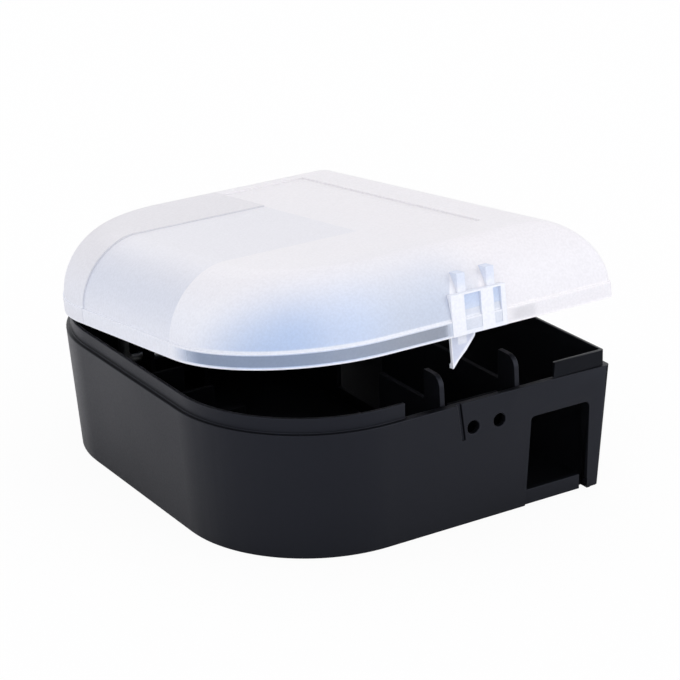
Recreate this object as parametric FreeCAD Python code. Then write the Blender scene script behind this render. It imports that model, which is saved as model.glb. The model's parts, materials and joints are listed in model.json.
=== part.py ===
import FreeCAD, Part
import math
import os

# Mouse bait station: a black D-shaped tray with a runway along its flat side, and a frosted
# lid that hinges on the back wall and snaps shut at the front. The lid stands ajar at rest.
# Millimetres and degrees. Origin: centre of the tray's footprint, on the ground.
# +X towards the flat side, -Y towards the latch, +Z up.

Vector = FreeCAD.Vector

# ---- tray ----
TRAY_WIDTH = 114.0
TRAY_DEPTH = 142.3
LEDGE_HEIGHT = 36.8
WALL_DRAFT = 3.8
FRONT_CORNER_RADIUS = 41.6
BACK_CORNER_RADIUS = 42.5
FLAT_CORNER_RADIUS = 1.6
LIP_INSET = 1.3
LIP_THICKNESS = 1.1
LIP_HEIGHT = 4.3
LIP_GAP_FROM_FLAT_SIDE = 18.4
LIP_GAP_WIDTH = 48.7
LIP_BACK_GAP = 20.0
FLOOR_THICKNESS = 2.0
BOTTOM_BEVEL = 0.3

# ---- entrances at both ends of the runway ----
PORT_SIDE_GAP = 7.0
PORT_WIDTH = 19.6
PORT_FLARE = 0.9
PORT_TOP = 27.3
PORT_CORNER_RADIUS = 1.4
SILL_SETBACK = 0.3
SILL_THICKNESS = 1.5
SILL_LENGTH = 19.0
SILL_TOP = 4.7
SILL_RELIEF = 0.3
JAMB_WIDTH = 2.0
JAMB_DEPTH = 4.4

# ---- inner walls ----
INNER_WALL = 1.6
RUNWAY_WIDTH = 29.7
DOORWAY_FRONT = -2.0
DOORWAY_WIDTH = 26.0
DOORWAY_SILL = 6.0
BAFFLE_FROM_FLAT_SIDE = 54.9
BAFFLE_LENGTH = 30.0
GUIDE_HEIGHT = 8.6
GUIDE_DEPTH = 8.0
GUIDE_LEAN = 0.5
GUIDE_OVERLAP = 0.5
GUIDE_ROUND = 3.4

# ---- bait rods and the notched ribs that carry them ----
ROD_RADIUS = 1.6
ROD_HEIGHT = 17.0
ROD_OVERHANG = 6.0
ROD_HANDLE_RISE = 9.0
ROD_BEND_RADIUS = 3.2
ROD_CLEARANCE = 0.15
ROD_SEAT_GAP = 0.05
RIB_THICKNESS = 1.6
RIB_TOP = 23.5
RIB_PITCH = 18.4
RIB_COUNT = 3
SIDE_RIB_FIRST_Y = -9.0
SIDE_RIB_END_X = -25.0
SIDE_ROD_X = -38.0
BACK_RIB_FIRST_X = -24.0
BACK_RIB_LENGTH = 17.0
BACK_ROD_INSET = 10.0

# ---- fixing holes in the floor ----
FIXING_X = -14.0
FIXING_SPACING = 80.0
FIXING_RADIUS = 2.25

# ---- latch panel, key holes and the sprung latch tongue behind them ----
LATCH_PANEL_FROM_FLAT_SIDE = 30.7
LATCH_PANEL_WIDTH = 19.2
LATCH_PANEL_RAMP = 4.3
LATCH_PANEL_DROP = 10.9
LATCH_PANEL_SLANT = 1.5
LATCH_GROOVE_WIDTH = 1.5
LATCH_GROOVE_FOOT_WIDTH = 1.0
LATCH_GROOVE_DEPTH = 1.4
KEY_HOLE_RADIUS = 1.9
KEY_HOLE_SPACING = 8.6
KEY_HOLES_FROM_FLAT_SIDE = 37.2
KEY_HOLE_DROP = 7.7
TONGUE_THICKNESS = 1.4
TONGUE_MARGIN = 3.0
TONGUE_ROOT_DROP = 22.0
TONGUE_ROOT_THICKNESS = 2.4
TONGUE_TOP_DROP = 1.6
NOSE_HEIGHT = 1.5
NOSE_LEAD = 0.9
LATCH_CLEARANCE = 0.3
LATCH_RELIEF = 1.0
TOOTH_CLEARANCE = 0.8

# ---- lid ----
LID_WALL = 1.2
LID_CLEARANCE = 0.3
RIM_GAP = 1.4
RIM_BAND = 4.5
BAND_STEP = 0.4
DOME_HEIGHT = 18.4
LEFT_ROLL = 18.6
FRONT_ROLL = 13.6
RIGHT_ROLL = 16.5
BACK_ROLL = 17.2
LEFT_ROUNDNESS = 1.8
FRONT_ROUNDNESS = 1.75
RIGHT_ROUNDNESS = 2.0
BACK_ROUNDNESS = 2.1
RIGHT_CORNER_ROLL = 1.0
FLAT_SIDE_EXTRA = 0.9
DOME_SECTIONS = 8
SASH_FRONT = -27.9
SASH_BACK = 25.4
SASH_SINK = 0.35
PANEL_FROM_FLAT_SIDE = 23.7
PANEL_WIDTH = 28.3
PANEL_FRONT = -46.0
PANEL_BACK = 51.0
PANEL_SINK = 0.5

# ---- latch block and catch tooth on the lid's front ----
BLOCK_FROM_FLAT_SIDE = 34.7
BLOCK_WIDTH = 17.5
BLOCK_PROUD = 0.2
BLOCK_RISE = 11.4
BLOCK_RIB_INSET = 3.2
BLOCK_RIB_PITCH = 9.3
BLOCK_RIB_WIDTH = 2.6
BLOCK_RIB_RISE = 16.6
BLOCK_RIB_SETBACK = 1.1
POCKET_LAP = 1.5
LEFT_POCKET_WIDTH = 5.2
RIGHT_POCKET_WIDTH = 2.4
POCKET_DEPTH = 0.7
POCKET_FOOT = 1.2
POCKET_HEAD = 0.5
TOOTH_THICKNESS = 1.0
TOOTH_FROM_FLAT_SIDE = 42.5
TOOTH_WIDTH = 8.4
TOOTH_DROP = 9.6
TOOTH_SLANT = ((0.02, 1.0), (0.25, 0.78), (0.56, 0.55), (0.91, 0.21), (1.0, 0.0))
TOOTH_TIP_STEP = 1.0
TOOTH_EDGE = 1.1
TOOTH_BEAD = 0.8
LUG_INSET = 2.2
LUG_WIDTH = 2.8
LUG_DROP = 3.6

# ---- hinge ----
HINGE_BEHIND = 7.2
HINGE_ABOVE = 6.5
HINGE_FIRST_X = -14.0
HINGE_SPACING = 52.0
PIN_RADIUS = 1.5
PIN_CLEARANCE = 0.08
BARREL_RADIUS = 3.1
KNUCKLE_WIDTH = 8.0
KNUCKLE_CLEARANCE = 0.3
EAR_THICKNESS = 2.6
EAR_FOOT_TOP = 2.4
EAR_FOOT_HEIGHT = 6.0
ARM_THICKNESS = 3.6
ARM_RAISE = 0.4
REST_OPENING = 7.0

HALF_WIDTH = TRAY_WIDTH / 2
HALF_DEPTH = TRAY_DEPTH / 2
DRAFT_SLOPE = math.tan(math.radians(WALL_DRAFT))
TRAY_WALL = LIP_INSET + LIP_THICKNESS
FLOOR_TOP = FLOOR_THICKNESS
HINGE_Y = HALF_DEPTH + HINGE_BEHIND
HINGE_Z = LEDGE_HEIGHT + HINGE_ABOVE
RIM_OVERHANG = LID_WALL + LID_CLEARANCE - LIP_INSET
RIM_BOTTOM = LEDGE_HEIGHT + RIM_GAP
BAND_TOP = RIM_BOTTOM + RIM_BAND
NOTCH_CENTRE_Z = ROD_HEIGHT + ROD_CLEARANCE - ROD_SEAT_GAP
PORT_LEFT = HALF_WIDTH - PORT_SIDE_GAP - PORT_WIDTH
PARTITION_X = HALF_WIDTH - RUNWAY_WIDTH - INNER_WALL / 2
BAFFLE_X = HALF_WIDTH - BAFFLE_FROM_FLAT_SIDE
LIP_GAP_RIGHT = HALF_WIDTH - LIP_GAP_FROM_FLAT_SIDE
LIP_GAP_LEFT = LIP_GAP_RIGHT - LIP_GAP_WIDTH
LATCH_PANEL_LEFT = HALF_WIDTH - LATCH_PANEL_FROM_FLAT_SIDE - LATCH_PANEL_WIDTH
KEY_HOLE_LEFT_X = HALF_WIDTH - KEY_HOLES_FROM_FLAT_SIDE - KEY_HOLE_SPACING
PANEL_LEFT = HALF_WIDTH - PANEL_FROM_FLAT_SIDE - PANEL_WIDTH
BLOCK_LEFT = HALF_WIDTH - BLOCK_FROM_FLAT_SIDE - BLOCK_WIDTH
TOOTH_LEFT = HALF_WIDTH - TOOTH_FROM_FLAT_SIDE - TOOTH_WIDTH
MARGIN = 20.0
OVERRUN = 1.0


def box(x_range, y_range, z_range):
    low = Vector(x_range[0], y_range[0], z_range[0])
    return Part.makeBox(
        x_range[1] - x_range[0], y_range[1] - y_range[0], z_range[1] - z_range[0], low
    )


def centred(centre, width):
    return (centre - width / 2, centre + width / 2)


def rounded_plan(sides, radii, z):
    """Closed wire of a plan with four rounded corners. sides: left, right, front, back."""
    left, right, front, back = sides
    front_left, front_right, back_right, back_left = radii
    corners = [
        (Vector(left, front, z), Vector(1, 0, 0), Vector(0, 1, 0), front_left),
        (Vector(right, front, z), Vector(0, 1, 0), Vector(-1, 0, 0), front_right),
        (Vector(right, back, z), Vector(-1, 0, 0), Vector(0, -1, 0), back_right),
        (Vector(left, back, z), Vector(0, -1, 0), Vector(1, 0, 0), back_left),
    ]
    arcs = []
    for corner, leaving, arriving, radius in corners:
        start = corner + arriving * radius
        end = corner + leaving * radius
        middle = corner + (leaving + arriving) * radius * (1 - math.sqrt(0.5))
        arcs.append((start, middle, end))
    edges = []
    for index, (start, middle, end) in enumerate(arcs):
        edges.append(Part.Arc(start, middle, end).toShape())
        edges.append(Part.LineSegment(end, arcs[(index + 1) % 4][0]).toShape())
    return Part.Wire(edges)


def tray_plan(inset, z):
    """The tray's outline at a height, moved inwards by inset."""
    sides = (
        -HALF_WIDTH + inset,
        HALF_WIDTH - inset,
        -HALF_DEPTH + inset,
        HALF_DEPTH - inset,
    )
    flat = max(FLAT_CORNER_RADIUS - inset / 2, 0.3)
    radii = (FRONT_CORNER_RADIUS - inset, flat, flat, BACK_CORNER_RADIUS - inset)
    return rounded_plan(sides, radii, z)


def draft_inset(z):
    return (LEDGE_HEIGHT - z) * DRAFT_SLOPE


def tray_block(extra, low, high):
    """Drafted solid between two heights, with its faces moved inwards by extra."""
    wires = [tray_plan(draft_inset(z) + extra, z) for z in (low, high)]
    return Part.makeLoft(wires, True, True)


def tray_cavity():
    return tray_block(TRAY_WALL, FLOOR_TOP, LEDGE_HEIGHT)


def straight_prism(inset, low, high):
    face = Part.Face(tray_plan(inset, low))
    return face.extrude(Vector(0, 0, high - low))


def polygon_prism(points, direction):
    wire = Part.makePolygon([Vector(*p) for p in points + points[:1]])
    return Part.Face(wire).extrude(Vector(*direction))


def mirror_back(shape):
    return shape.mirror(Vector(0, 0, 0), Vector(0, 1, 0))


def port_cutter():
    """Entrance at the front: open to the ground, a little wider at its foot."""
    right = PORT_LEFT + PORT_WIDTH
    start = -HALF_DEPTH - OVERRUN
    reach = draft_inset(0) + TRAY_WALL + OVERRUN
    outline = [
        (PORT_LEFT - PORT_FLARE, start, -OVERRUN),
        (right + PORT_FLARE, start, -OVERRUN),
        (right, start, PORT_TOP),
        (PORT_LEFT, start, PORT_TOP),
    ]
    cutter = polygon_prism(outline, (0, reach, 0))
    top_edges = [
        e
        for e in cutter.Edges
        if all(abs(v.Z - PORT_TOP) < 1e-6 for v in e.Vertexes)
        and abs(e.Vertexes[0].X - e.Vertexes[1].X) < 1e-6
    ]
    return cutter.makeFillet(PORT_CORNER_RADIUS, top_edges)


def sill_face():
    return -HALF_DEPTH + draft_inset(0) + SILL_SETBACK


def entrance_sill():
    """Low plate across the foot of the front entrance, set back behind the wall."""
    left = PORT_LEFT - PORT_FLARE
    start = sill_face()
    return box(
        (left, left + SILL_LENGTH), (start, start + SILL_THICKNESS), (SILL_RELIEF, SILL_TOP)
    )


def sill_pocket():
    """Room in the tray for the sill, and a notch in the floor beside its end."""
    right = PORT_LEFT + PORT_WIDTH + PORT_FLARE
    start = sill_face()
    notch = box(
        (PORT_LEFT - PORT_FLARE, right),
        (start - OVERRUN, start + SILL_THICKNESS + OVERRUN),
        (-OVERRUN, FLOOR_TOP + OVERRUN),
    )
    return notch.fuse(entrance_sill())


def port_jamb():
    """Return behind the wall on the flat side of the front entrance."""
    left = PORT_LEFT + PORT_WIDTH
    start = -HALF_DEPTH
    foot = box((left, left + JAMB_WIDTH), (start, start + JAMB_DEPTH), (0, PORT_TOP))
    return foot.common(tray_block(0, 0, LEDGE_HEIGHT))


def latch_panel_cutter():
    """Upright flat on the drafted front wall, with a groove down its left side. On its right
    it runs out into the wall."""
    top = LEDGE_HEIGHT + OVERRUN
    foot = LEDGE_HEIGHT - LATCH_PANEL_DROP
    foot_left = LATCH_PANEL_LEFT + LATCH_PANEL_SLANT
    right = LATCH_PANEL_LEFT + LATCH_PANEL_WIDTH
    face = -HALF_DEPTH + draft_inset(foot)
    outline = [
        (LATCH_PANEL_LEFT, face, top),
        (foot_left, face, foot),
        (right, face, foot),
        (right, face, top),
    ]
    ramp = [
        (right - LATCH_PANEL_RAMP, face, foot),
        (right, -HALF_DEPTH, foot),
        (right, face, foot),
    ]
    panel = polygon_prism(outline, (0, -MARGIN, 0)).cut(polygon_prism(ramp, (0, 0, top - foot)))
    bottom = -HALF_DEPTH + LATCH_GROOVE_DEPTH
    groove = [
        (LATCH_PANEL_LEFT - LATCH_GROOVE_WIDTH, bottom, top),
        (foot_left - LATCH_GROOVE_FOOT_WIDTH, bottom, foot),
        (foot_left, bottom, foot),
        (LATCH_PANEL_LEFT, bottom, top),
    ]
    return panel.fuse(polygon_prism(groove, (0, -MARGIN, 0)))


def latch_relief():
    """Makes the inner face of the latch panel upright, for the catch tooth to pass."""
    face = -HALF_DEPTH + TRAY_WALL
    right = LATCH_PANEL_LEFT + LATCH_PANEL_WIDTH - LATCH_PANEL_RAMP
    return box(
        (TOOTH_LEFT - LATCH_RELIEF, right),
        (face, face + LATCH_RELIEF),
        (LEDGE_HEIGHT - TOOTH_DROP - LATCH_RELIEF, LEDGE_HEIGHT),
    )


def key_hole_centres():
    z = LEDGE_HEIGHT - KEY_HOLE_DROP
    return [(KEY_HOLE_LEFT_X + i * KEY_HOLE_SPACING, z) for i in range(2)]


def fixing_holes():
    return [
        Part.makeCylinder(
            FIXING_RADIUS, FLOOR_TOP + 2 * OVERRUN, Vector(FIXING_X, y, -OVERRUN)
        )
        for y in (-FIXING_SPACING / 2, FIXING_SPACING / 2)
    ]


def tray_lip():
    """Upstand inside the ledge, left out over the latch and along the hinge wall."""
    top = LEDGE_HEIGHT + LIP_HEIGHT
    ring = straight_prism(LIP_INSET, LEDGE_HEIGHT, top)
    ring = ring.cut(straight_prism(TRAY_WALL, LEDGE_HEIGHT - OVERRUN, top + OVERRUN))
    z_range = (LEDGE_HEIGHT - OVERRUN, top + OVERRUN)
    latch_gap = box(
        (LIP_GAP_LEFT, LIP_GAP_RIGHT), (-HALF_DEPTH - OVERRUN, -HALF_DEPTH + MARGIN), z_range
    )
    hinge_gap = box(
        (-HALF_WIDTH - OVERRUN, HALF_WIDTH + OVERRUN),
        (HALF_DEPTH - LIP_BACK_GAP, HALF_DEPTH + OVERRUN),
        z_range,
    )
    return ring.cut(latch_gap).cut(hinge_gap)


def base_tray():
    foot = [
        tray_plan(draft_inset(0) + BOTTOM_BEVEL, 0),
        tray_plan(draft_inset(BOTTOM_BEVEL), BOTTOM_BEVEL),
    ]
    shell = Part.makeLoft(foot, True, True).fuse(tray_block(0, BOTTOM_BEVEL, LEDGE_HEIGHT))
    shell = shell.cut(tray_block(TRAY_WALL, FLOOR_TOP, LEDGE_HEIGHT + OVERRUN))
    shell = shell.fuse(tray_lip())
    shell = shell.fuse(port_jamb()).fuse(mirror_back(port_jamb()))
    shell = shell.cut(latch_relief())
    for cutter in (port_cutter(), sill_pocket()):
        shell = shell.cut(cutter).cut(mirror_back(cutter))
    shell = shell.cut(latch_panel_cutter())
    for x, z in key_hole_centres():
        start = Vector(x, -HALF_DEPTH - OVERRUN, z)
        shell = shell.cut(
            Part.makeCylinder(KEY_HOLE_RADIUS, MARGIN / 2, start, Vector(0, 1, 0))
        )
    for tool in fixing_holes():
        shell = shell.cut(tool)
    return shell.removeSplitter()


def guide_fin(x):
    """Upper end of an inner wall: a fin above the ledge that guides the lid as it closes."""
    front = -HALF_DEPTH + TRAY_WALL - GUIDE_OVERLAP
    top = LEDGE_HEIGHT + GUIDE_HEIGHT
    low = LEDGE_HEIGHT
    left = x - INNER_WALL / 2
    outline = [
        (left, front, low),
        (left, front + GUIDE_DEPTH, low),
        (left, front + GUIDE_DEPTH, top),
        (left, front + GUIDE_LEAN, top),
    ]
    fin = polygon_prism(outline, (INNER_WALL, 0, 0))
    corner = [
        e
        for e in fin.Edges
        if all(abs(v.Z - top) < 1e-6 for v in e.Vertexes)
        and all(abs(v.Y - front - GUIDE_LEAN) < 1e-6 for v in e.Vertexes)
    ]
    return fin.makeFillet(GUIDE_ROUND, corner)


def inner_wall(x, y_range, top):
    wall = box(centred(x, INNER_WALL), y_range, (FLOOR_TOP, top))
    return wall.common(tray_cavity())


def runway_partition():
    """Wall between the runway and the bait chamber, with a doorway half way along."""
    full = (-HALF_DEPTH, HALF_DEPTH)
    wall = inner_wall(PARTITION_X, full, LEDGE_HEIGHT)
    doorway = box(
        centred(PARTITION_X, INNER_WALL + 2 * OVERRUN),
        (DOORWAY_FRONT, DOORWAY_FRONT + DOORWAY_WIDTH),
        (DOORWAY_SILL, LEDGE_HEIGHT + OVERRUN),
    )
    return wall.cut(doorway).fuse(guide_fin(PARTITION_X)).removeSplitter()


def chamber_baffle():
    """Short wall that keeps bait away from the latch tongue."""
    start = -HALF_DEPTH
    wall = inner_wall(BAFFLE_X, (start, start + TRAY_WALL + BAFFLE_LENGTH), LEDGE_HEIGHT)
    return wall.fuse(guide_fin(BAFFLE_X)).removeSplitter()


def rod_notch(centre, direction):
    """Slot open at the top, with a round seat for a rod that lies along direction."""
    radius = ROD_RADIUS + ROD_CLEARANCE
    across = Vector(direction.y, direction.x, 0)
    start = centre - direction * RIB_THICKNESS
    length = 2 * RIB_THICKNESS
    seat = Part.makeCylinder(radius, length, start, direction)
    corner = start - across * radius
    points = [
        corner,
        corner + across * 2 * radius,
        corner + across * 2 * radius + Vector(0, 0, MARGIN),
        corner + Vector(0, 0, MARGIN),
    ]
    slot = polygon_prism([tuple(p) for p in points], tuple(direction * length))
    return seat.fuse(slot)


def side_rib(index):
    y = SIDE_RIB_FIRST_Y + index * RIB_PITCH
    rib = box(
        (-HALF_WIDTH, SIDE_RIB_END_X), centred(y, RIB_THICKNESS), (FLOOR_TOP, RIB_TOP)
    )
    rib = rib.common(tray_cavity())
    centre = Vector(SIDE_ROD_X, y, NOTCH_CENTRE_Z)
    return rib.cut(rod_notch(centre, Vector(0, 1, 0)))


def back_rib(index):
    x = BACK_RIB_FIRST_X + index * RIB_PITCH
    wall_face = HALF_DEPTH - TRAY_WALL - draft_inset(FLOOR_TOP)
    rib = box(
        centred(x, RIB_THICKNESS),
        (wall_face - BACK_RIB_LENGTH, HALF_DEPTH),
        (FLOOR_TOP, RIB_TOP),
    )
    rib = rib.common(tray_cavity())
    centre = Vector(x, wall_face - BACK_ROD_INSET, NOTCH_CENTRE_Z)
    return rib.cut(rod_notch(centre, Vector(1, 0, 0)))


def bait_rod(start, direction, length):
    """Round wire rod that ends in an upright handle, bent at its start."""
    rise_top = start + Vector(0, 0, ROD_HANDLE_RISE)
    rise_end = start + Vector(0, 0, ROD_BEND_RADIUS)
    bend_end = start + direction * ROD_BEND_RADIUS
    slack = ROD_BEND_RADIUS * (1 - math.sqrt(0.5))
    middle = start + direction * slack + Vector(0, 0, slack)
    path = Part.Wire(
        [
            Part.LineSegment(rise_top, rise_end).toShape(),
            Part.Arc(rise_end, middle, bend_end).toShape(),
            Part.LineSegment(bend_end, start + direction * length).toShape(),
        ]
    )
    ring = Part.Circle(rise_top, Vector(0, 0, 1), ROD_RADIUS).toShape()
    return path.makePipeShell([Part.Wire([ring])], True, False)


def rod_span():
    return (RIB_COUNT - 1) * RIB_PITCH + 2 * ROD_OVERHANG


def side_rod():
    start = Vector(SIDE_ROD_X, SIDE_RIB_FIRST_Y - ROD_OVERHANG, ROD_HEIGHT)
    return bait_rod(start, Vector(0, 1, 0), rod_span())


def back_rod():
    y = HALF_DEPTH - TRAY_WALL - draft_inset(FLOOR_TOP) - BACK_ROD_INSET
    start = Vector(BACK_RIB_FIRST_X - ROD_OVERHANG, y, ROD_HEIGHT)
    return bait_rod(start, Vector(1, 0, 0), rod_span())


def tooth_plane():
    """Y range of the lid's catch tooth when the lid is closed."""
    front = -HALF_DEPTH + TRAY_WALL + TOOTH_CLEARANCE
    return (front, front + TOOTH_THICKNESS)


def tongue_faces():
    """Y range of the latch tongue, which stands just behind the catch tooth."""
    front = tooth_plane()[1] + TOOTH_BEAD + LATCH_CLEARANCE
    return (front, front + TONGUE_THICKNESS)


def bead_height(x):
    """Height of the inner edge of the tooth's bead at x, with the lid closed."""
    across = (x + TOOTH_EDGE - TOOTH_LEFT) / TOOTH_WIDTH
    pairs = zip(TOOTH_SLANT, TOOTH_SLANT[1:])
    near, far = next(pair for pair in pairs if across <= pair[1][0])
    share = (across - near[0]) / (far[0] - near[0])
    return RIM_BOTTOM - TOOTH_DROP * (near[1] + (far[1] - near[1]) * share)


def nose_ranges():
    """X and Z ranges of the tongue's nose, beside the tooth's lug and just above its bead."""
    left = TOOTH_LEFT + LATCH_CLEARANCE
    right = TOOTH_LEFT + LUG_INSET - LATCH_CLEARANCE
    low = bead_height(right + LATCH_CLEARANCE) + LATCH_CLEARANCE
    return (left, right), (low, low + NOSE_HEIGHT)


def latch_tongue():
    """Springy upright plate behind both key holes. Its nose catches the tooth's bead."""
    nose_x, nose_z = nose_ranges()
    front, back = tongue_faces()
    root_z = LEDGE_HEIGHT - TONGUE_ROOT_DROP
    right = key_hole_centres()[1][0] + TONGUE_MARGIN
    blade = box((nose_x[0], right), (front, back), (root_z, LEDGE_HEIGHT - TONGUE_TOP_DROP))
    tip = tooth_plane()[1] + LATCH_CLEARANCE
    outline = [
        (nose_x[0], front, nose_z[0]),
        (nose_x[0], front, nose_z[1]),
        (nose_x[0], tip, nose_z[1] - NOSE_LEAD),
        (nose_x[0], tip, nose_z[0]),
    ]
    nose = polygon_prism(outline, (nose_x[1] - nose_x[0], 0, 0))
    return blade.fuse(nose).removeSplitter()


def latch_tongue_root():
    """Shelf on the front wall that the latch tongue grows from."""
    nose_x, _ = nose_ranges()
    right = key_hole_centres()[1][0] + TONGUE_MARGIN
    root_z = LEDGE_HEIGHT - TONGUE_ROOT_DROP
    shelf = box(
        (nose_x[0], right),
        (-HALF_DEPTH, tongue_faces()[1]),
        (root_z - TONGUE_ROOT_THICKNESS, root_z),
    )
    return shelf.common(tray_cavity())


def roll_inset(roll, roundness, share):
    """How far a lid side has rolled inwards at a share of the dome's height."""
    return roll * (1 - (1 - share**roundness) ** (1 / roundness))


def dome_plan(share, offset, wall):
    """Lid outline at a share of the dome's height, 0 at the rim band and 1 on top."""
    rolls = [
        (LEFT_ROLL, LEFT_ROUNDNESS),
        (RIGHT_ROLL, RIGHT_ROUNDNESS),
        (FRONT_ROLL, FRONT_ROUNDNESS),
        (BACK_ROLL, BACK_ROUNDNESS),
    ]
    start = BAND_STEP + wall - offset
    left, right, front, back = [
        start + roll_inset(roll - wall, roundness, share) for roll, roundness in rolls
    ]
    z = BAND_TOP + (DOME_HEIGHT + offset - wall) * share
    sides = (
        -HALF_WIDTH - RIM_OVERHANG + left,
        HALF_WIDTH + RIM_OVERHANG + FLAT_SIDE_EXTRA - right,
        -HALF_DEPTH - RIM_OVERHANG + front,
        HALF_DEPTH + RIM_OVERHANG - back,
    )
    flat = FLAT_CORNER_RADIUS + RIGHT_CORNER_ROLL * share**2
    front_radius = FRONT_CORNER_RADIUS + RIM_OVERHANG - (left + front) / 2
    back_radius = BACK_CORNER_RADIUS + RIM_OVERHANG - (left + back) / 2
    return rounded_plan(sides, (front_radius, flat, flat, back_radius), z)


def dome(offset, wall):
    """Solid of the lid above the rim band, grown by offset or shrunk by wall."""
    shares = [math.sin(i * math.pi / 2 / DOME_SECTIONS) for i in range(DOME_SECTIONS + 1)]
    wires = [dome_plan(share, offset, wall) for share in shares]
    return Part.makeLoft(wires, True, False)


def rim_band(inset, low):
    """Upright band of the lid's rim, moved inwards by inset."""
    reach = RIM_OVERHANG - inset
    sides = (
        -HALF_WIDTH - reach,
        HALF_WIDTH + reach + FLAT_SIDE_EXTRA,
        -HALF_DEPTH - reach,
        HALF_DEPTH + reach,
    )
    radii = (
        FRONT_CORNER_RADIUS + reach,
        FLAT_CORNER_RADIUS,
        FLAT_CORNER_RADIUS,
        BACK_CORNER_RADIUS + reach,
    )
    face = Part.Face(rounded_plan(sides, radii, low))
    return face.extrude(Vector(0, 0, BAND_TOP - low))


def sash_cutter():
    """Skin to take off the dome's left half, so that a shallow sash runs over it."""
    region = box(
        (-HALF_WIDTH - MARGIN, PANEL_LEFT),
        (SASH_FRONT, SASH_BACK),
        (BAND_TOP, BAND_TOP + DOME_HEIGHT + MARGIN),
    )
    return region.cut(dome(-SASH_SINK, 0))


def panel_cutter():
    """Shallow pocket in the flat top, beside the sash."""
    top = BAND_TOP + DOME_HEIGHT
    return box(
        (PANEL_LEFT, PANEL_LEFT + PANEL_WIDTH),
        (PANEL_FRONT, PANEL_BACK),
        (top - PANEL_SINK, top + MARGIN),
    )


def lid_outer():
    body = rim_band(0, RIM_BOTTOM).fuse(dome(0, 0))
    return body.cut(sash_cutter()).cut(panel_cutter())


def lid_shell():
    inner_band = rim_band(LID_WALL, RIM_BOTTOM - OVERRUN)
    inner = inner_band.fuse(dome(0, LID_WALL))
    return lid_outer().cut(inner).removeSplitter()


def lid_latch_block():
    """Upright block on the lid's front wall with two tall ribs. A shallow pocket beside each
    rib laps a little over its front."""
    face = -HALF_DEPTH - RIM_OVERHANG
    front = face - BLOCK_PROUD
    back = face + FRONT_ROLL
    top = RIM_BOTTOM + BLOCK_RISE
    block = box((BLOCK_LEFT, BLOCK_LEFT + BLOCK_WIDTH), (front, back), (RIM_BOTTOM, top))
    for index, pocket_width in enumerate((LEFT_POCKET_WIDTH, RIGHT_POCKET_WIDTH)):
        left = BLOCK_LEFT + BLOCK_RIB_INSET + index * BLOCK_RIB_PITCH
        right = left + BLOCK_RIB_WIDTH
        rib = box(
            (left, right),
            (face + BLOCK_RIB_SETBACK, back),
            (RIM_BOTTOM, RIM_BOTTOM + BLOCK_RIB_RISE),
        )
        pocket_left = right - POCKET_LAP
        pocket = box(
            (pocket_left, pocket_left + pocket_width),
            (front - OVERRUN, front + POCKET_DEPTH),
            (RIM_BOTTOM + POCKET_FOOT, top - POCKET_HEAD),
        )
        block = block.fuse(rib).cut(pocket)
    return block.cut(lid_outer()).removeSplitter()


def tooth_lug():
    """Round-ended lug down the back of the catch tooth."""
    back = tooth_plane()[1]
    left = TOOTH_LEFT + LUG_INSET
    radius = LUG_WIDTH / 2
    centre_z = RIM_BOTTOM - LUG_DROP + radius
    end = Part.makeCylinder(
        radius, TOOTH_BEAD, Vector(left + radius, back, centre_z), Vector(0, 1, 0)
    )
    return end.fuse(
        box((left, left + LUG_WIDTH), (back, back + TOOTH_BEAD), (centre_z, BAND_TOP))
    )


def lid_catch_tooth():
    """Pointed plate that hangs behind the front wall, with a bead along its slanted edge."""
    inner_face = -HALF_DEPTH - RIM_OVERHANG + LID_WALL
    front, back = tooth_plane()
    right = TOOTH_LEFT + TOOTH_WIDTH
    tip_z = RIM_BOTTOM - TOOTH_DROP
    slant = [
        (TOOTH_LEFT + TOOTH_WIDTH * across, front, RIM_BOTTOM - TOOTH_DROP * down)
        for across, down in TOOTH_SLANT
    ]
    outline = [(TOOTH_LEFT, front, BAND_TOP), (TOOTH_LEFT, front, tip_z + TOOTH_TIP_STEP)]
    outline += slant + [(right, front, BAND_TOP)]
    plate = polygon_prism(outline, (0, TOOTH_THICKNESS, 0))
    inner_slant = [(x - TOOTH_EDGE, y, z) for x, y, z in reversed(slant)]
    bead = polygon_prism(slant + inner_slant, (0, TOOTH_THICKNESS + TOOTH_BEAD, 0))
    bead = bead.common(
        box((TOOTH_LEFT, right), (front, back + TOOTH_BEAD), (tip_z, RIM_BOTTOM))
    )
    web = box(
        (TOOTH_LEFT, right), (inner_face, back), (RIM_BOTTOM + RIM_BAND / 2, BAND_TOP)
    )
    return plate.fuse(bead).fuse(web).fuse(tooth_lug()).removeSplitter()


def along_x(radius, x_range):
    start = Vector(x_range[0], HINGE_Y, HINGE_Z)
    return Part.makeCylinder(radius, x_range[1] - x_range[0], start, Vector(1, 0, 0))


def hinge_centres():
    return (HINGE_FIRST_X, HINGE_FIRST_X + HINGE_SPACING)


def hinge_spans(x):
    """X ranges of one hinge: knuckle, left ear and right ear."""
    knuckle = centred(x, KNUCKLE_WIDTH)
    left_end = knuckle[0] - KNUCKLE_CLEARANCE
    right_end = knuckle[1] + KNUCKLE_CLEARANCE
    left_ear = (left_end - EAR_THICKNESS, left_end)
    right_ear = (right_end, right_end + EAR_THICKNESS)
    return knuckle, left_ear, right_ear


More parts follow.
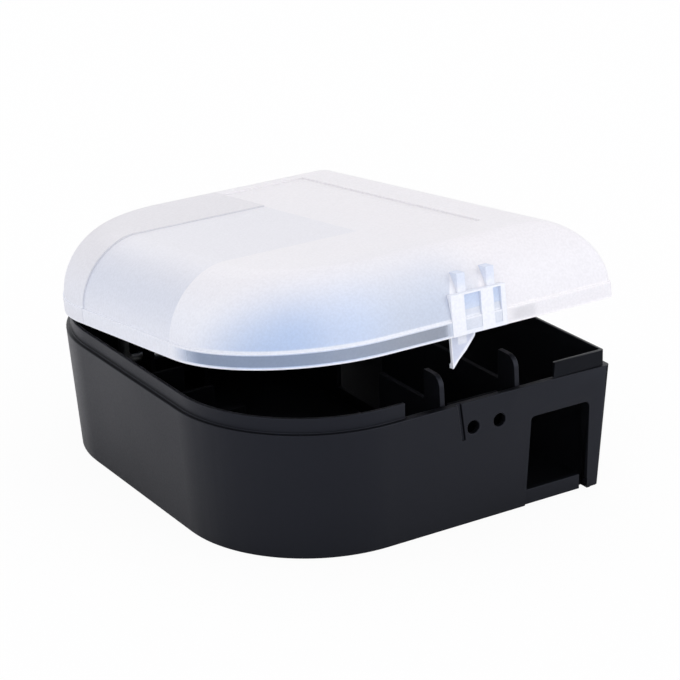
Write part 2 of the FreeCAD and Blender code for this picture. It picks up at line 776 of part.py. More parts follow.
def hinge_ear(x_range):
    """Cheek on the tray's back wall that holds one end of a hinge pin."""
    foot_top = LEDGE_HEIGHT - EAR_FOOT_TOP
    foot_low = foot_top - EAR_FOOT_HEIGHT
    wall_y = HALF_DEPTH - draft_inset(foot_low) - TRAY_WALL / 2
    span = math.hypot(HINGE_Y - wall_y, HINGE_Z - foot_top)
    aim = math.atan2(foot_top - HINGE_Z, wall_y - HINGE_Y)
    upper = aim - math.acos(BARREL_RADIUS / span)
    low_span = math.hypot(HINGE_Y - wall_y, HINGE_Z - foot_low)
    low_aim = math.atan2(foot_low - HINGE_Z, wall_y - HINGE_Y)
    lower = low_aim + math.acos(BARREL_RADIUS / low_span)
    touch = [
        (
            x_range[0],
            HINGE_Y + BARREL_RADIUS * math.cos(a),
            HINGE_Z + BARREL_RADIUS * math.sin(a),
        )
        for a in (upper, lower)
    ]
    outline = [
        (x_range[0], wall_y, foot_top),
        touch[0],
        touch[1],
        (x_range[0], wall_y, foot_low),
    ]
    cheek = polygon_prism(outline, (x_range[1] - x_range[0], 0, 0))
    cheek = cheek.fuse(along_x(BARREL_RADIUS, x_range))
    cheek = cheek.cut(tray_block(0, 0, LEDGE_HEIGHT))
    return cheek.cut(along_x(PIN_RADIUS, x_range)).removeSplitter()


def base_hinge_ears():
    ears = []
    for x in hinge_centres():
        ears.extend(hinge_ear(span) for span in hinge_spans(x)[1:])
    return Part.makeCompound(ears)


def hinge_pin(x):
    _, left_ear, right_ear = hinge_spans(x)
    return along_x(PIN_RADIUS, (left_ear[0], right_ear[1]))


def lid_hinge_knuckle(x):
    """Barrel and arm on the lid's back wall that turn on a hinge pin."""
    span = hinge_spans(x)[0]
    arm_low = HINGE_Z - BARREL_RADIUS + ARM_RAISE
    arm = box(
        span,
        (HALF_DEPTH, HINGE_Y),
        (arm_low, arm_low + ARM_THICKNESS),
    )
    knuckle = along_x(BARREL_RADIUS, span).fuse(arm)
    knuckle = knuckle.cut(lid_outer()).cut(rim_band(0, RIM_BOTTOM))
    return knuckle.cut(along_x(PIN_RADIUS + PIN_CLEARANCE, span)).removeSplitter()


def opened(shape):
    """Turns a lid piece from closed to its rest angle about the hinge axis."""
    shape = shape.copy()
    shape.rotate(Vector(0, HINGE_Y, HINGE_Z), Vector(-1, 0, 0), REST_OPENING)
    return shape


def main():
    side_ribs = Part.makeCompound([side_rib(i) for i in range(RIB_COUNT)])
    back_ribs = Part.makeCompound([back_rib(i) for i in range(RIB_COUNT)])
    knuckles = Part.makeCompound([lid_hinge_knuckle(x) for x in hinge_centres()])
    left_hinge_x, right_hinge_x = hinge_centres()
    nodes = {
        "base_tray": base_tray(),
        "entrance_sill_front": entrance_sill(),
        "entrance_sill_back": mirror_back(entrance_sill()),
        "runway_partition": runway_partition(),
        "chamber_baffle": chamber_baffle(),
        "side_rod_ribs": side_ribs,
        "back_rod_ribs": back_ribs,
        "bait_rod_side": side_rod(),
        "bait_rod_back": back_rod(),
        "latch_tongue_root": latch_tongue_root(),
        "latch_tongue": latch_tongue(),
        "base_hinge_ears": base_hinge_ears(),
        "hinge_pin_left": hinge_pin(left_hinge_x),
        "hinge_pin_right": hinge_pin(right_hinge_x),
        "lid_shell": opened(lid_shell()),
        "lid_latch_block": opened(lid_latch_block()),
        "lid_catch_tooth": opened(lid_catch_tooth()),
        "lid_hinge_knuckles": opened(knuckles),
    }
    os.makedirs("parts", exist_ok=True)
    for name, shape in nodes.items():
        shape.exportStep(f"parts/{name}.step")


main()
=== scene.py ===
"""Looks of a mouse bait station: black moulded tray, frosted lid standing ajar, wire bait rods.

Metres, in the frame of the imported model: +X to the flat side, -Y to the latch, +Z up. Most
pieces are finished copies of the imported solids, with their moulded edges rounded over.
"""

import json
import math

import bmesh
import bpy
from mathutils import Matrix, Vector


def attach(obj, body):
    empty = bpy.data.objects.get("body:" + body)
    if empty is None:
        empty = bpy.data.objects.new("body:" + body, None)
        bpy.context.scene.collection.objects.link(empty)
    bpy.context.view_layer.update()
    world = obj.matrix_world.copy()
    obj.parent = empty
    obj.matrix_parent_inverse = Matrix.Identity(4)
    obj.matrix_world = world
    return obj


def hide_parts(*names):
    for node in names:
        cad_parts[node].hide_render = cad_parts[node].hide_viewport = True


MM = 0.001

# ---- camera ----
CAMERA_PLACE = (-0.329432, -0.565104, 0.287523)
CAMERA_AZIMUTH = -31.19
CAMERA_ELEVATION = 21.16
CAMERA_ROLL = -1.74
CAMERA_LENS = 128.29
SENSOR_WIDTH = 36.0

# ---- heights of the tray and of the shut lid, mm; the hinge comes from the record ----
LEDGE = 36.8
RIM_BOTTOM = 38.2
BAND_TOP = 42.7
DOME_TOP = 61.1
SASH_FRONT = -27.9
SASH_BACK = 25.4
PANEL_LEFT = 5.0

# ---- latch block and catch tooth on the shut lid, mm ----
BLOCK_RANGE = (4.8, 22.3)
POCKETS = ((9.1, 14.3), (18.4, 20.8))
POCKET_FOOT = 39.4
POCKET_HEAD = 49.1
RIB_LEFTS = (8.0, 17.3)
RIB_TOP = 54.8
RIB_FLARE = 0.42
TOOTH_LEFT = 6.1
TOOTH_SLANT_LINE = 23.2
LUG_RANGE = (8.3, 11.1)
LUG_FOOT = 34.6

# ---- where the lid's clear stretches, painted shades and painted highlights begin and end, mm on the shut lid ----
FRONT_WALL = (-64.0, -60.0)
RIB_WEDGE_END = (-50.0, -48.0)
CLEAR_BAND_BACK = (-43.0, -28.0)
CLEAR_BAND_RIGHT = (2.0, 5.0)
CLEAR_BESIDE_BLOCK = (24.0, 32.0)
COOL_END = (0.0, 20.0)
BLUE_LEFT = (-40.0, -27.0)
BLUE_BACK = (-35.0, -8.0)
BLUE_LEAN = 0.6
SHADE_FADE_START = (-26.0, -8.0)
SHADE_END = (50.0, 72.0)
RIM_LINE = 0.9
SASH_LINE = 0.6
SASH_STEP_SHADOW = 0.7
SASH_ROLL = 52.1
SASH_ROLL_REACH = 12.0

# ---- lid plastic ----
LID_WHITE = "#FDFBFD"
LID_COOL_WHITE = "#F5F8FF"
# painted shade colours: the blues stand for the dark tray seen through the lid's wall and in the
# latch block's pockets, the greys for shade on the sash and along its back step
LID_SHADE_BLUE = "#BBCFEE"
LID_FADED_SHADE_BLUE = "#BAC7DC"
LID_SASH_SHADE = "#DCE2EF"
LID_SHADE = "#DEDDE2"
LID_STEP_SHADOW = "#A9AEBD"
TOOTH_BLUE = "#DDE4F6"
CLEAR_ROUGHNESS = 0.42

# ---- moulded edges, mm; angles in degrees, WELD in metres ----
TRAY_EDGE = 0.35
INNER_EDGE = 0.25
LID_EDGE = 0.14
WIRE_EDGE = 0.3
EDGE_ANGLE = 30.0
FOOT_HEIGHT = 5.0
FLAT_CORNER = (54.0, 66.0)
EAR_ROOT = 71.6
FLAT_ANGLE = 0.4
WELD = 1e-6

# ---- pattern sizes, mm ----
SPARK_GRAIN = 0.55
FLOW_SPREAD = 38.0
FROST_GRAIN = 0.7
CLOUD_SPREAD = 26.0
DRAWN_LINE = 0.12
ZINC_SPANGLE = 1.6

# ---- studio, metres and watts: name, place, size and power of each lamp ----
LAMPS = (
    ("left_lamp", (-1.1, -0.75, 0.5), 0.9, 2.0),
    ("top_lamp", (0.1, 0.3, 1.4), 1.0, 1.0),
    ("right_lamp", (0.8, -1.2, 0.5), 1.5, 6.0),
    ("back_lamp", (0.3, 1.3, 0.8), 0.9, 1.0),
)
LAMP_AIM = (0, 0, 0.03)
FLOOR_RADIUS = 6.0
FLOOR_SHADE = 0.06

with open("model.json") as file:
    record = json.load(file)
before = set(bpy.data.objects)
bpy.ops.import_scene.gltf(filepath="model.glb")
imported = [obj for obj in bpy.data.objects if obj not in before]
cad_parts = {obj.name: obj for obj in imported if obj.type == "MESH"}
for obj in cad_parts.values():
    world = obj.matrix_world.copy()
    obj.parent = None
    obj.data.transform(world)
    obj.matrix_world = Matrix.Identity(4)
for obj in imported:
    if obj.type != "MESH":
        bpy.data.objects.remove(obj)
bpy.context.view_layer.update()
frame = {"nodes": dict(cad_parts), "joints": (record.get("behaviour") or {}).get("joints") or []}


def linear(code):
    """Linear colour of an sRGB hex code."""
    channels = [int(code[i : i + 2], 16) / 255 for i in (1, 3, 5)]
    mixed = [c / 12.92 if c <= 0.04045 else ((c + 0.055) / 1.055) ** 2.4 for c in channels]
    return (*mixed, 1.0)


def add(tree, kind, inputs=None, **settings):
    """Adds a shader node; inputs hold socket values or the outputs to link."""
    made = tree.nodes.new("ShaderNode" + kind)
    for name, value in settings.items():
        setattr(made, name, value)
    for socket, value in (inputs or {}).items():
        if isinstance(value, bpy.types.NodeSocket):
            tree.links.new(value, made.inputs[socket])
        else:
            made.inputs[socket].default_value = value
    return made


def new_material(name):
    material = bpy.data.materials.new(name)
    material.use_nodes = True
    material.node_tree.nodes.clear()
    return material, material.node_tree


def per_metre(size_mm):
    """Pattern scale that gives one feature each size_mm on Object coordinates in metres."""
    return 1 / (size_mm * MM)


def noise(tree, place, size_mm, detail=2.0, roughness=0.5):
    made = add(
        tree,
        "TexNoise",
        {"Vector": place, "Scale": per_metre(size_mm), "Detail": detail, "Roughness": roughness},
    )
    return made.outputs["Fac"]


def spread(tree, value, low, high, start=0.0, end=1.0):
    """Maps value from start..end to low..high, smoothly and held at both ends."""
    made = add(
        tree,
        "MapRange",
        {"Value": value, "From Min": start, "From Max": end, "To Min": low, "To Max": high},
        interpolation_type="SMOOTHSTEP",
    )
    return made.outputs["Result"]


def blend_colour(tree, factor, first, second):
    made = add(
        tree,
        "Mix",
        {"Factor": factor, 6: first, 7: second},
        data_type="RGBA",
    )
    return made.outputs[2]


def times(tree, *values):
    """Product of sockets and numbers."""
    total = values[0]
    for value in values[1:]:
        total = add(tree, "Math", {0: total, 1: value}, operation="MULTIPLY").outputs[0]
    return total


def plus(tree, first, second):
    return add(tree, "Math", {0: first, 1: second}, operation="ADD").outputs[0]


def minus(tree, first, second):
    return add(tree, "Math", {0: first, 1: second}, operation="SUBTRACT").outputs[0]


def most(tree, first, *others):
    """The largest of sockets and numbers."""
    largest = first
    for other in others:
        largest = add(tree, "Math", {0: largest, 1: other}, operation="MAXIMUM").outputs[0]
    return largest


def ridge(tree, value, centre, reach):
    """1 where value is at centre, falling to 0 at reach on either side."""
    offset = minus(tree, value, centre)
    away = add(tree, "Math", {0: offset}, operation="ABSOLUTE").outputs[0]
    return spread(tree, away, 1.0, 0.0, 0.0, reach)


def within(tree, value, low, high, soft=0.2):
    """1 between low and high, fading to 0 over soft on either side."""
    return times(
        tree,
        spread(tree, value, 0.0, 1.0, low - soft, low + soft),
        spread(tree, value, 1.0, 0.0, high - soft, high + soft),
    )


def black_polypropylene(name, dark, light, gloss, dullest):
    """Black polypropylene, injection moulded in a spark-eroded tool: satin, finely grained,
    with soft flow clouds in its gloss. The grain is drawn coarser than it is, to show."""
    material, tree = new_material(name)
    place = add(tree, "TexCoord").outputs["Object"]
    grain = noise(tree, place, SPARK_GRAIN, 3.0, 0.6)
    flow = noise(tree, place, FLOW_SPREAD, 2.0)
    colour = blend_colour(tree, flow, linear(dark), linear(light))
    roughness = plus(
        tree,
        spread(tree, flow, dullest - 0.06, dullest, 0.3, 0.7),
        spread(tree, grain, -0.03, 0.03, 0.3, 0.7),
    )
    bump = add(tree, "Bump", {"Height": grain, "Strength": 0.22, "Distance": 0.06 * MM})
    shader = add(
        tree,
        "BsdfPrincipled",
        {
            "Base Color": colour,
            "Roughness": roughness,
            "Normal": bump.outputs["Normal"],
            "IOR": 1.49,
            "Specular IOR Level": gloss,
            "Specular Tint": linear("#DDE4FF"),
        },
    )
    add(tree, "OutputMaterial", {"Surface": shader.outputs[0]})
    return material


def shut_lid_place(tree):
    """Object coordinates turned back to the shut lid, in millimetres."""
    hinge = next(j for j in frame["joints"] if j["name"] == "lid_hinge")
    pivot = Vector(hinge["pos_m"]) / MM
    opening = math.radians(-hinge["range_deg"][0])
    turned = Matrix.Rotation(opening, 3, "X") @ pivot
    made = add(
        tree,
        "Mapping",
        {
            "Vector": add(tree, "TexCoord").outputs["Object"],
            "Location": pivot - turned,
            "Rotation": (opening, 0, 0),
            "Scale": (1 / MM,) * 3,
        },
        vector_type="POINT",
    )
    return made.outputs["Vector"]


def frosted_surface(tree, place, colour, see_through, clear_roughness, glow_share):
    """Body of the lid's plastic: milk with a fine grain, mixed with a see_through share of
    clear plastic. glow_share of the milk lets light through. The grain is drawn coarser than
    it is, to show."""
    clouds = noise(tree, place, CLOUD_SPREAD / MM, 3.0)
    grain = noise(tree, place, FROST_GRAIN / MM, 2.0)
    speckle = plus(
        tree,
        spread(tree, grain, -0.03, 0.03, 0.3, 0.7),
        spread(tree, clouds, -0.01, 0.01, 0.3, 0.7),
    )
    colour = add(
        tree, "HueSaturation", {"Color": colour, "Value": plus(tree, speckle, 0.985)}
    ).outputs["Color"]
    bump = add(tree, "Bump", {"Height": grain, "Strength": 0.25, "Distance": 0.04 * MM})
    normal = bump.outputs["Normal"]
    clear = add(
        tree,
        "BsdfPrincipled",
        {
            "Base Color": linear("#F0F4FC"),
            "Roughness": clear_roughness,
            "IOR": 1.49,
            "Transmission Weight": 1.0,
            "Normal": normal,
        },
    )
    milk = add(
        tree,
        "BsdfPrincipled",
        {"Base Color": colour, "Roughness": 0.36, "IOR": 1.49, "Normal": normal},
    )
    glow = add(tree, "BsdfTranslucent", {"Color": colour, "Normal": normal})
    body = add(tree, "MixShader", {0: glow_share, 1: milk.outputs[0], 2: glow.outputs[0]})
    cloudy = plus(tree, see_through, spread(tree, clouds, -0.02, 0.02, 0.3, 0.7))
    shader = add(tree, "MixShader", {0: cloudy, 1: body.outputs[0], 2: clear.outputs[0]})
    add(tree, "OutputMaterial", {"Surface": shader.outputs[0]})


def rib_wedge_light(tree, x, y, height, rib_left):
    """1 beside a rib of the latch block, on a painted highlight: a light wedge that widens
    downwards, standing for the rib's root seen through the wall."""
    reach = times(tree, minus(tree, RIB_TOP, height), RIB_FLARE)
    return times(
        tree,
        spread(tree, plus(tree, x, reach), 0.0, 1.0, rib_left - 0.25, rib_left + 0.25),
        spread(tree, x, 1.0, 0.0, rib_left, rib_left + 0.5),
        spread(tree, height, 0.0, 1.0, POCKET_HEAD - 0.5, POCKET_HEAD),
        spread(tree, y, 1.0, 0.0, *RIB_WEDGE_END),
    )


def painted_highlights(tree, x, y, height):
    """1 on the wall's painted highlights: white lines along the rim band's two edges and the
    sash's front edge, and light wedges beside the latch block's ribs."""
    sash_line = times(
        tree,
        ridge(tree, y, SASH_FRONT, SASH_LINE),
        spread(tree, x, 1.0, 0.0, PANEL_LEFT - 6, PANEL_LEFT),
    )
    return most(
        tree,
        ridge(tree, height, BAND_TOP, RIM_LINE),
        ridge(tree, height, RIM_BOTTOM, RIM_LINE),
        sash_line,
        *(rib_wedge_light(tree, x, y, height, left) for left in RIB_LEFTS),
    )


def clear_bands(tree, x, y, height):
    """The rim band's nearly clear stretches, left of the latch block and right of it."""
    on_band = within(tree, height, RIM_BOTTOM + 0.7, BAND_TOP - 0.6)
    left = times(
        tree,
        on_band,
        spread(tree, y, 1.0, 0.0, *CLEAR_BAND_BACK),
        spread(tree, x, 1.0, 0.0, *CLEAR_BAND_RIGHT),
    )
    right = times(
        tree,
        on_band,
        spread(tree, y, 1.0, 0.0, *FRONT_WALL),
        within(tree, x, *CLEAR_BESIDE_BLOCK, 2.0),
    )
    return left, right


def shade_sash(tree, colour, x, y, height, unlined):
    """Paints shade on the sash, most of all on its roll, and on the strip behind it, with a
    painted shadow line along the step between them.
    """
    beside_panel = spread(tree, x, 1.0, 0.0, PANEL_LEFT - 0.2, PANEL_LEFT + 0.2)
    on_roll = times(tree, ridge(tree, height, SASH_ROLL, SASH_ROLL_REACH), 0.62)
    on_sash = times(
        tree,
        within(tree, y, SASH_FRONT, SASH_BACK),
        beside_panel,
        plus(tree, on_roll, 0.08),
        unlined,
    )
    behind_sash = times(
        tree,
        spread(tree, y, 0.0, 0.36, SASH_BACK - 0.2, SASH_BACK + 0.2),
        spread(tree, y, 1.0, 0.0, *SHADE_END),
        beside_panel,
        spread(tree, height, 0.5, 1.0, BAND_TOP, DOME_TOP - 6),
        unlined,
    )
    # painted shadow line along the sash's back step
    step_shadow = times(tree, ridge(tree, y, SASH_BACK, SASH_STEP_SHADOW), beside_panel, 0.24)
    for share, shade in ((on_sash, LID_SASH_SHADE), (behind_sash, LID_SHADE), (step_shadow, LID_STEP_SHADOW)):
        colour = blend_colour(tree, share, colour, linear(shade))
    return colour


def lid_wall_plastic():
    """Natural polypropylene, injection moulded thin. It is milky, and painted shade turns it
    cooler and blue low on the front left, standing in for the dark tray that lies behind it. The
    rim band is nearly clear there, between two painted highlight lines along its edges."""
    material, tree = new_material("frosted_natural_polypropylene")
    place = shut_lid_place(tree)
    x, y, height = add(tree, "SeparateXYZ", {0: place}).outputs
    # painted highlights: white lines and wedges that take away the painted blue shade and the
    # clear share
    unlined = spread(tree, painted_highlights(tree, x, y, height), 1.0, 0.0)
    left_band, right_band = clear_bands(tree, x, y, height)
    # painted shade: low_left and behind_block mark where the wall is painted cooler and bluer,
    # for the dark tray behind it
    low_left = times(
        tree,
        spread(tree, height, 1.0, 0.0, BAND_TOP + 3, DOME_TOP + 4),
        spread(tree, x, 1.0, 0.1, *COOL_END),
    )
    behind_block = times(
        tree,
        spread(tree, height, 1.0, 0.0, POCKET_HEAD - 1, POCKET_HEAD),
        within(tree, x, *BLOCK_RANGE),
        spread(tree, y, 1.0, 0.0, *FRONT_WALL),
    )
    cool = most(tree, low_left, behind_block)
    see_through = times(
        tree,
        most(
            tree,
            spread(tree, cool, 0.1, 0.02),
            times(tree, left_band, 0.6),
            times(tree, right_band, 0.35),
        ),
        unlined,
    )
    # painted shade: blue low on the front left and a little behind the latch block, fading
    # greyer to the right
    forward = plus(tree, y, times(tree, height, BLUE_LEAN))
    front_left = times(
        tree,
        most(tree, left_band, spread(tree, forward, 1.0, 0.0, *BLUE_BACK)),
        spread(tree, x, 1.0, 0.76, *BLUE_LEFT),
        low_left,
    )
    painted_shade = times(tree, most(tree, front_left, times(tree, behind_block, 0.35)), unlined)
    white = blend_colour(tree, cool, linear(LID_WHITE), linear(LID_COOL_WHITE))
    shade_fade = spread(tree, x, 0.0, 1.0, *SHADE_FADE_START)
    blue = blend_colour(tree, shade_fade, linear(LID_SHADE_BLUE), linear(LID_FADED_SHADE_BLUE))
    colour = blend_colour(tree, painted_shade, white, blue)
    colour = shade_sash(tree, colour, x, y, height, unlined)
    smoother = spread(tree, see_through, CLEAR_ROUGHNESS, 0.2, 0.1, 0.55)
    frosted_surface(tree, place, colour, see_through, smoother, 0.12)
    return material


def thick_lid_plastic():
    """The same plastic where it is thick: whiter, with painted blue shade in the latch block's
    pockets, deepest at their top, and on what stands above the block.
    """
    material, tree = new_material("milky_natural_polypropylene")
    place = shut_lid_place(tree)
    x, _, height = add(tree, "SeparateXYZ", {0: place}).outputs
    # painted shade: blue in the pockets, deepest at their top under the ledge
    pocket = times(
        tree,
        most(tree, *(within(tree, x, *sides) for sides in POCKETS)),
        spread(tree, height, 0.1, 0.75, POCKET_FOOT, POCKET_HEAD - 1),
        spread(tree, height, 1.0, 0.0, POCKET_HEAD - 0.1, POCKET_HEAD + 0.1),
    )
    above_block = spread(tree, height, 0.0, 0.35, POCKET_HEAD + 0.5, POCKET_HEAD + 4)
    painted_shade = most(tree, pocket, above_block)
    colour = blend_colour(tree, painted_shade, linear(LID_COOL_WHITE), linear(LID_SHADE_BLUE))
    frosted_surface(tree, place, colour, 0.02, CLEAR_ROUGHNESS, 0.1)
    return material


def tooth_plastic():
    """The catch tooth: thin and bluish, white on its lug, which thickens it, and with painted
    highlights along its slanted edge and its left side.
    """
    material, tree = new_material("frosted_polypropylene_tooth")
    place = shut_lid_place(tree)
    x, _, height = add(tree, "SeparateXYZ", {0: place}).outputs
    above_slant = minus(tree, height, x)
    # painted highlights along the tooth's slanted edge and its left side
    slant_edge_light = spread(tree, above_slant, 1.0, 0.0, TOOTH_SLANT_LINE, TOOTH_SLANT_LINE + 0.5)
    side = spread(tree, x, 1.0, 0.0, TOOTH_LEFT + 0.1, TOOTH_LEFT + 0.5)
    lug = times(
        tree,
        within(tree, x, *LUG_RANGE),
        spread(tree, height, 0.0, 1.0, LUG_FOOT, LUG_FOOT + 0.6),
        0.75,
    )
    white = most(tree, slant_edge_light, side, lug)
    colour = blend_colour(tree, white, linear(TOOTH_BLUE), linear(LID_COOL_WHITE))
    see_through = spread(tree, white, 0.16, 0.0)
    smoother = spread(tree, see_through, CLEAR_ROUGHNESS, 0.2, 0.1, 0.55)
    frosted_surface(tree, place, colour, see_through, smoother, 0.08)
    return material


def drawn_wire(name, stretch):
    """Galvanised steel wire: pale grey zinc, fine die lines along the wire, cloudy spangle."""
    material, tree = new_material(name)
    place = add(tree, "TexCoord").outputs["Object"]
    stretched = add(tree, "Mapping", {"Vector": place, "Scale": stretch}).outputs["Vector"]
    lines = noise(tree, stretched, DRAWN_LINE, 2.0)
    spangle = noise(tree, place, ZINC_SPANGLE, 3.0)
    colour = blend_colour(tree, spangle, linear("#8E9194"), linear("#B9BBBC"))
    bump = add(tree, "Bump", {"Height": lines, "Strength": 0.3, "Distance": 0.02 * MM})
    shader = add(
        tree,
        "BsdfPrincipled",
        {
            "Base Color": colour,
            "Metallic": 1.0,
            "Roughness": spread(tree, lines, 0.28, 0.42, 0.3, 0.7),
            "Normal": bump.outputs["Normal"],
        },
    )
    add(tree, "OutputMaterial", {"Surface": shader.outputs[0]})
    return material


def seen_directly(tree):
    """1 for rays from the camera, 0 for light and for reflections."""
    return add(tree, "LightPath").outputs["Is Camera Ray"]


def seen_through(tree):
    """1 for what mirrors and clear plastic show, 0 for light."""
    path = add(tree, "LightPath").outputs
    return most(tree, path["Is Glossy Ray"], path["Is Transmission Ray"])


def floor_white(name, kept_shade):
    """Matt white that the camera sees as white, less kept_shade of the shadow on it."""
    material, tree = new_material(name)
    paper = add(tree, "BsdfDiffuse", {"Color": linear("#F4F4F4")})
    glow = add(tree, "Emission", {"Color": (1, 1, 1, 1), "Strength": 1.0})
    whitened = times(tree, seen_directly(tree), 1 - kept_shade)
    shader = add(tree, "MixShader", {0: whitened, 1: paper.outputs[0], 2: glow.outputs[0]})
    add(tree, "OutputMaterial", {"Surface": shader.outputs[0]})
    return material


def packed_mesh(node):
    """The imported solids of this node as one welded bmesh, without the split triangles."""
    shape = bmesh.new()
    shape.from_mesh(frame["nodes"][node].data)
    bmesh.ops.remove_doubles(shape, verts=shape.verts, dist=WELD)
    bmesh.ops.dissolve_limit(
        shape,
        angle_limit=math.radians(FLAT_ANGLE),
        use_dissolve_boundaries=False,
        verts=shape.verts,
        edges=shape.edges,
    )
    return shape


def anywhere(place):
    return True


def clear_of_tray_corners(place):
    """False at the tray's foot and at the ends of its flat side, where edges crowd."""
    at_corner = place.x > FLAT_CORNER[0] and abs(place.y) > FLAT_CORNER[1]
    return place.z > FOOT_HEIGHT and not at_corner


def clear_of_ear_roots(place):
    return place.y > EAR_ROOT


def mark_moulded_edges(shape, free):
    """Gives the bevel its edges: the sharp ones, where free allows one at both their ends."""
    weight = shape.edges.layers.float.new("bevel_weight_edge")
    for edge in shape.edges:
        sharp = len(edge.link_faces) == 2 and edge.calc_face_angle() > math.radians(EDGE_ANGLE)
        edge[weight] = float(sharp and all(free(vert.co / MM) for vert in edge.verts))


def nowhere(face):
    return False


def below_ledge_or_side(face):
    """True for an inner wall, less the thin edge of the fin that stands above the ledge."""
    return abs(face.normal.x) > 0.5 or face.calc_center_median().z < (LEDGE + 0.5) * MM


def faces_inwards(face):
    """True for the floor and for the walls that face the middle of the tray."""
    middle = face.calc_center_median()
    across = face.normal.x * middle.x + face.normal.y * middle.y
    on_floor = face.normal.z > 0.9 and middle.z < 10 * MM
    return on_floor or (abs(face.normal.z) < 0.5 and across < 0)


def place_piece(name, shape, body, materials, node):
    """Turns a bmesh into a piece of the object, riding on its body in the node's place."""
    mesh = bpy.data.meshes.new(name)
    shape.to_mesh(mesh)
    shape.free()
    if "custom_normal" in mesh.attributes:
        mesh.attributes.remove(mesh.attributes["custom_normal"])
    for material in materials:
        mesh.materials.append(material)
    mesh.polygons.foreach_set("use_smooth", [True] * len(mesh.polygons))
    piece = bpy.data.objects.new(name, mesh)
    bpy.context.scene.collection.objects.link(piece)
    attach(piece, body)
    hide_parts(node)
    return piece


def round_edges(piece, width_mm):
    """Rounds the moulded edges over with a small fillet."""
    bevel = piece.modifiers.new("moulded_edges", "BEVEL")
    bevel.width = width_mm * MM
    bevel.segments = 3
    bevel.profile = 0.5
    bevel.limit_method = "WEIGHT"
    bevel.offset_type = "WIDTH"
    bevel.use_clamp_overlap = False
    bevel.loop_slide = False
    bevel.material = -1
    shading = piece.modifiers.new("even_shading", "WEIGHTED_NORMAL")
    shading.mode = "FACE_AREA_WITH_ANGLE"
    shading.weight = 60
    return piece


def finished(name, node, body, materials, edge, free=anywhere, second=nowhere):
    """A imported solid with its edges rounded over. Faces picked by second get the second
    material."""
    shape = packed_mesh(node)
    mark_moulded_edges(shape, free)
    for face in shape.faces:
        face.material_index = int(second(face))
    piece = place_piece(name, shape, body, materials, node)
    return round_edges(piece, edge)


def make_tray(outside, inside):
    pair = [outside, inside]
    finished(
        "tray_tub",
        "base_tray",
        "tray",
        pair,
        TRAY_EDGE,
        clear_of_tray_corners,
        faces_inwards,
    )
    for name, node in (("runway_wall", "runway_partition"), ("latch_wall", "chamber_baffle")):
        finished(name, node, "tray", pair, INNER_EDGE, second=below_ledge_or_side)
    for name, node in (
        ("front_sill", "entrance_sill_front"),
        ("back_sill", "entrance_sill_back"),
    ):
        finished(name, node, "tray", pair, INNER_EDGE, second=faces_inwards)
    for name, node in (
        ("side_rod_cradles", "side_rod_ribs"),
        ("back_rod_cradles", "back_rod_ribs"),
        ("latch_shelf", "latch_tongue_root"),
    ):
        finished(name, node, "tray", [inside], INNER_EDGE)
    finished(
        "hinge_ears",
        "base_hinge_ears",
        "tray",
        [outside],
        INNER_EDGE,
        clear_of_ear_roots,
    )
    finished("latch_spring", "latch_tongue", "latch", [inside], INNER_EDGE)


def make_lid():
    thick = thick_lid_plastic()
    for name, node, material in (
        ("lid_dome", "lid_shell", lid_wall_plastic()),
        ("latch_block", "lid_latch_block", thick),
        ("catch_tooth", "lid_catch_tooth", tooth_plastic()),
        ("hinge_barrels", "lid_hinge_knuckles", thick),
    ):
        finished(name, node, "lid", [material], LID_EDGE)


def make_wire_parts():
    along_y = drawn_wire("galvanised_wire_along_y", (1, 0.02, 1))
    along_x = drawn_wire("galvanised_wire_along_x", (0.02, 1, 1))
    finished("side_bait_rod", "bait_rod_side", "side_rod", [along_y], WIRE_EDGE)
    finished("back_bait_rod", "bait_rod_back", "back_rod", [along_x], WIRE_EDGE)
    finished("left_hinge_pin", "hinge_pin_left", "tray", [along_x], WIRE_EDGE)
    finished("right_hinge_pin", "hinge_pin_right", "tray", [along_x], WIRE_EDGE)


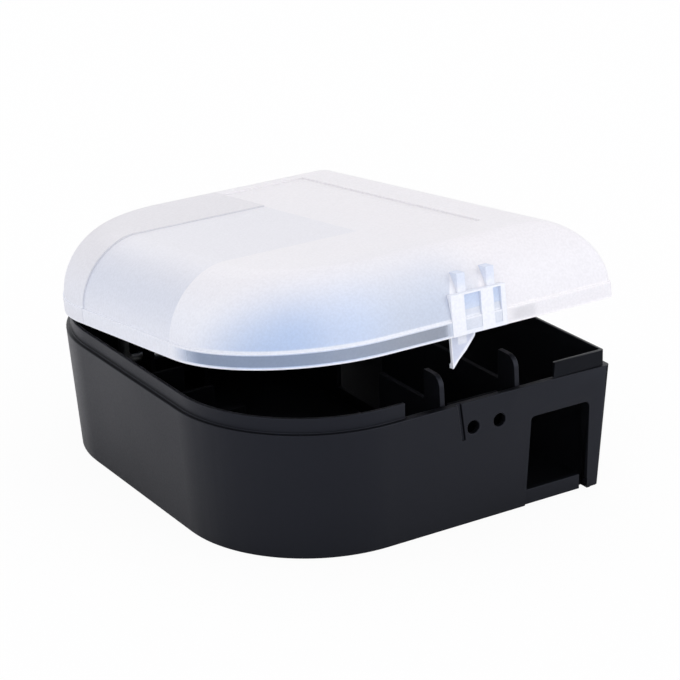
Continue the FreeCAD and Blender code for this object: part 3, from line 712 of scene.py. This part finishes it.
def make_studio():
    floor_shape = bmesh.new()
    bmesh.ops.create_circle(floor_shape, cap_ends=True, segments=64, radius=FLOOR_RADIUS)
    mesh = bpy.data.meshes.new("floor")
    floor_shape.to_mesh(mesh)
    floor_shape.free()
    mesh.materials.append(floor_white("matt_white_floor", FLOOR_SHADE))
    floor = bpy.data.objects.new("floor", mesh)
    bpy.context.scene.collection.objects.link(floor)

    world = bpy.data.worlds.new("studio")
    bpy.context.scene.world = world
    world.use_nodes = True
    tree = world.node_tree
    tree.nodes.clear()
    seen = most(tree, seen_directly(tree), seen_through(tree))
    room = add(tree, "Background", {"Color": linear("#F7F6FA"), "Strength": 0.95})
    white = add(tree, "Background", {"Color": (1, 1, 1, 1), "Strength": 1.0})
    shader = add(tree, "MixShader", {0: seen, 1: room.outputs[0], 2: white.outputs[0]})
    add(tree, "OutputWorld", {"Surface": shader.outputs[0]})

    for name, place, size, power in LAMPS:
        lamp = bpy.data.lights.new(name, "AREA")
        lamp.shape = "DISK"
        lamp.size = size
        lamp.energy = power
        holder = bpy.data.objects.new(name, lamp)
        holder.location = place
        aim_line = Vector(LAMP_AIM) - Vector(place)
        holder.rotation_euler = aim_line.to_track_quat("-Z", "Y").to_euler()
        bpy.context.scene.collection.objects.link(holder)


def make_camera():
    azimuth = math.radians(CAMERA_AZIMUTH)
    elevation = math.radians(CAMERA_ELEVATION)
    back = Vector(
        (
            math.sin(azimuth) * math.cos(elevation),
            -math.cos(azimuth) * math.cos(elevation),
            math.sin(elevation),
        )
    )
    level = Vector((math.cos(azimuth), math.sin(azimuth), 0))
    upright = back.cross(level)
    turn = Matrix((level, upright, back)).transposed()
    turn = turn @ Matrix.Rotation(math.radians(CAMERA_ROLL), 3, "Z")
    camera = bpy.data.cameras.new("camera")
    camera.lens = CAMERA_LENS
    camera.sensor_width = SENSOR_WIDTH
    camera.clip_start = 0.01
    holder = bpy.data.objects.new("camera", camera)
    holder.matrix_world = Matrix.Translation(CAMERA_PLACE) @ turn.to_4x4()
    bpy.context.scene.collection.objects.link(holder)
    bpy.context.scene.camera = holder


# painted shade: the tray's inner faces and inner parts get a darker, less glossy copy of its
# plastic, for the shade inside the tray
make_tray(
    black_polypropylene("moulded_black_polypropylene", "#08090B", "#0C0D10", 0.28, 0.42),
    black_polypropylene("shaded_black_polypropylene", "#060709", "#090A0D", 0.08, 0.75),
)
make_lid()
make_wire_parts()
make_studio()
make_camera()
bpy.context.scene.view_settings.view_transform = "Standard"
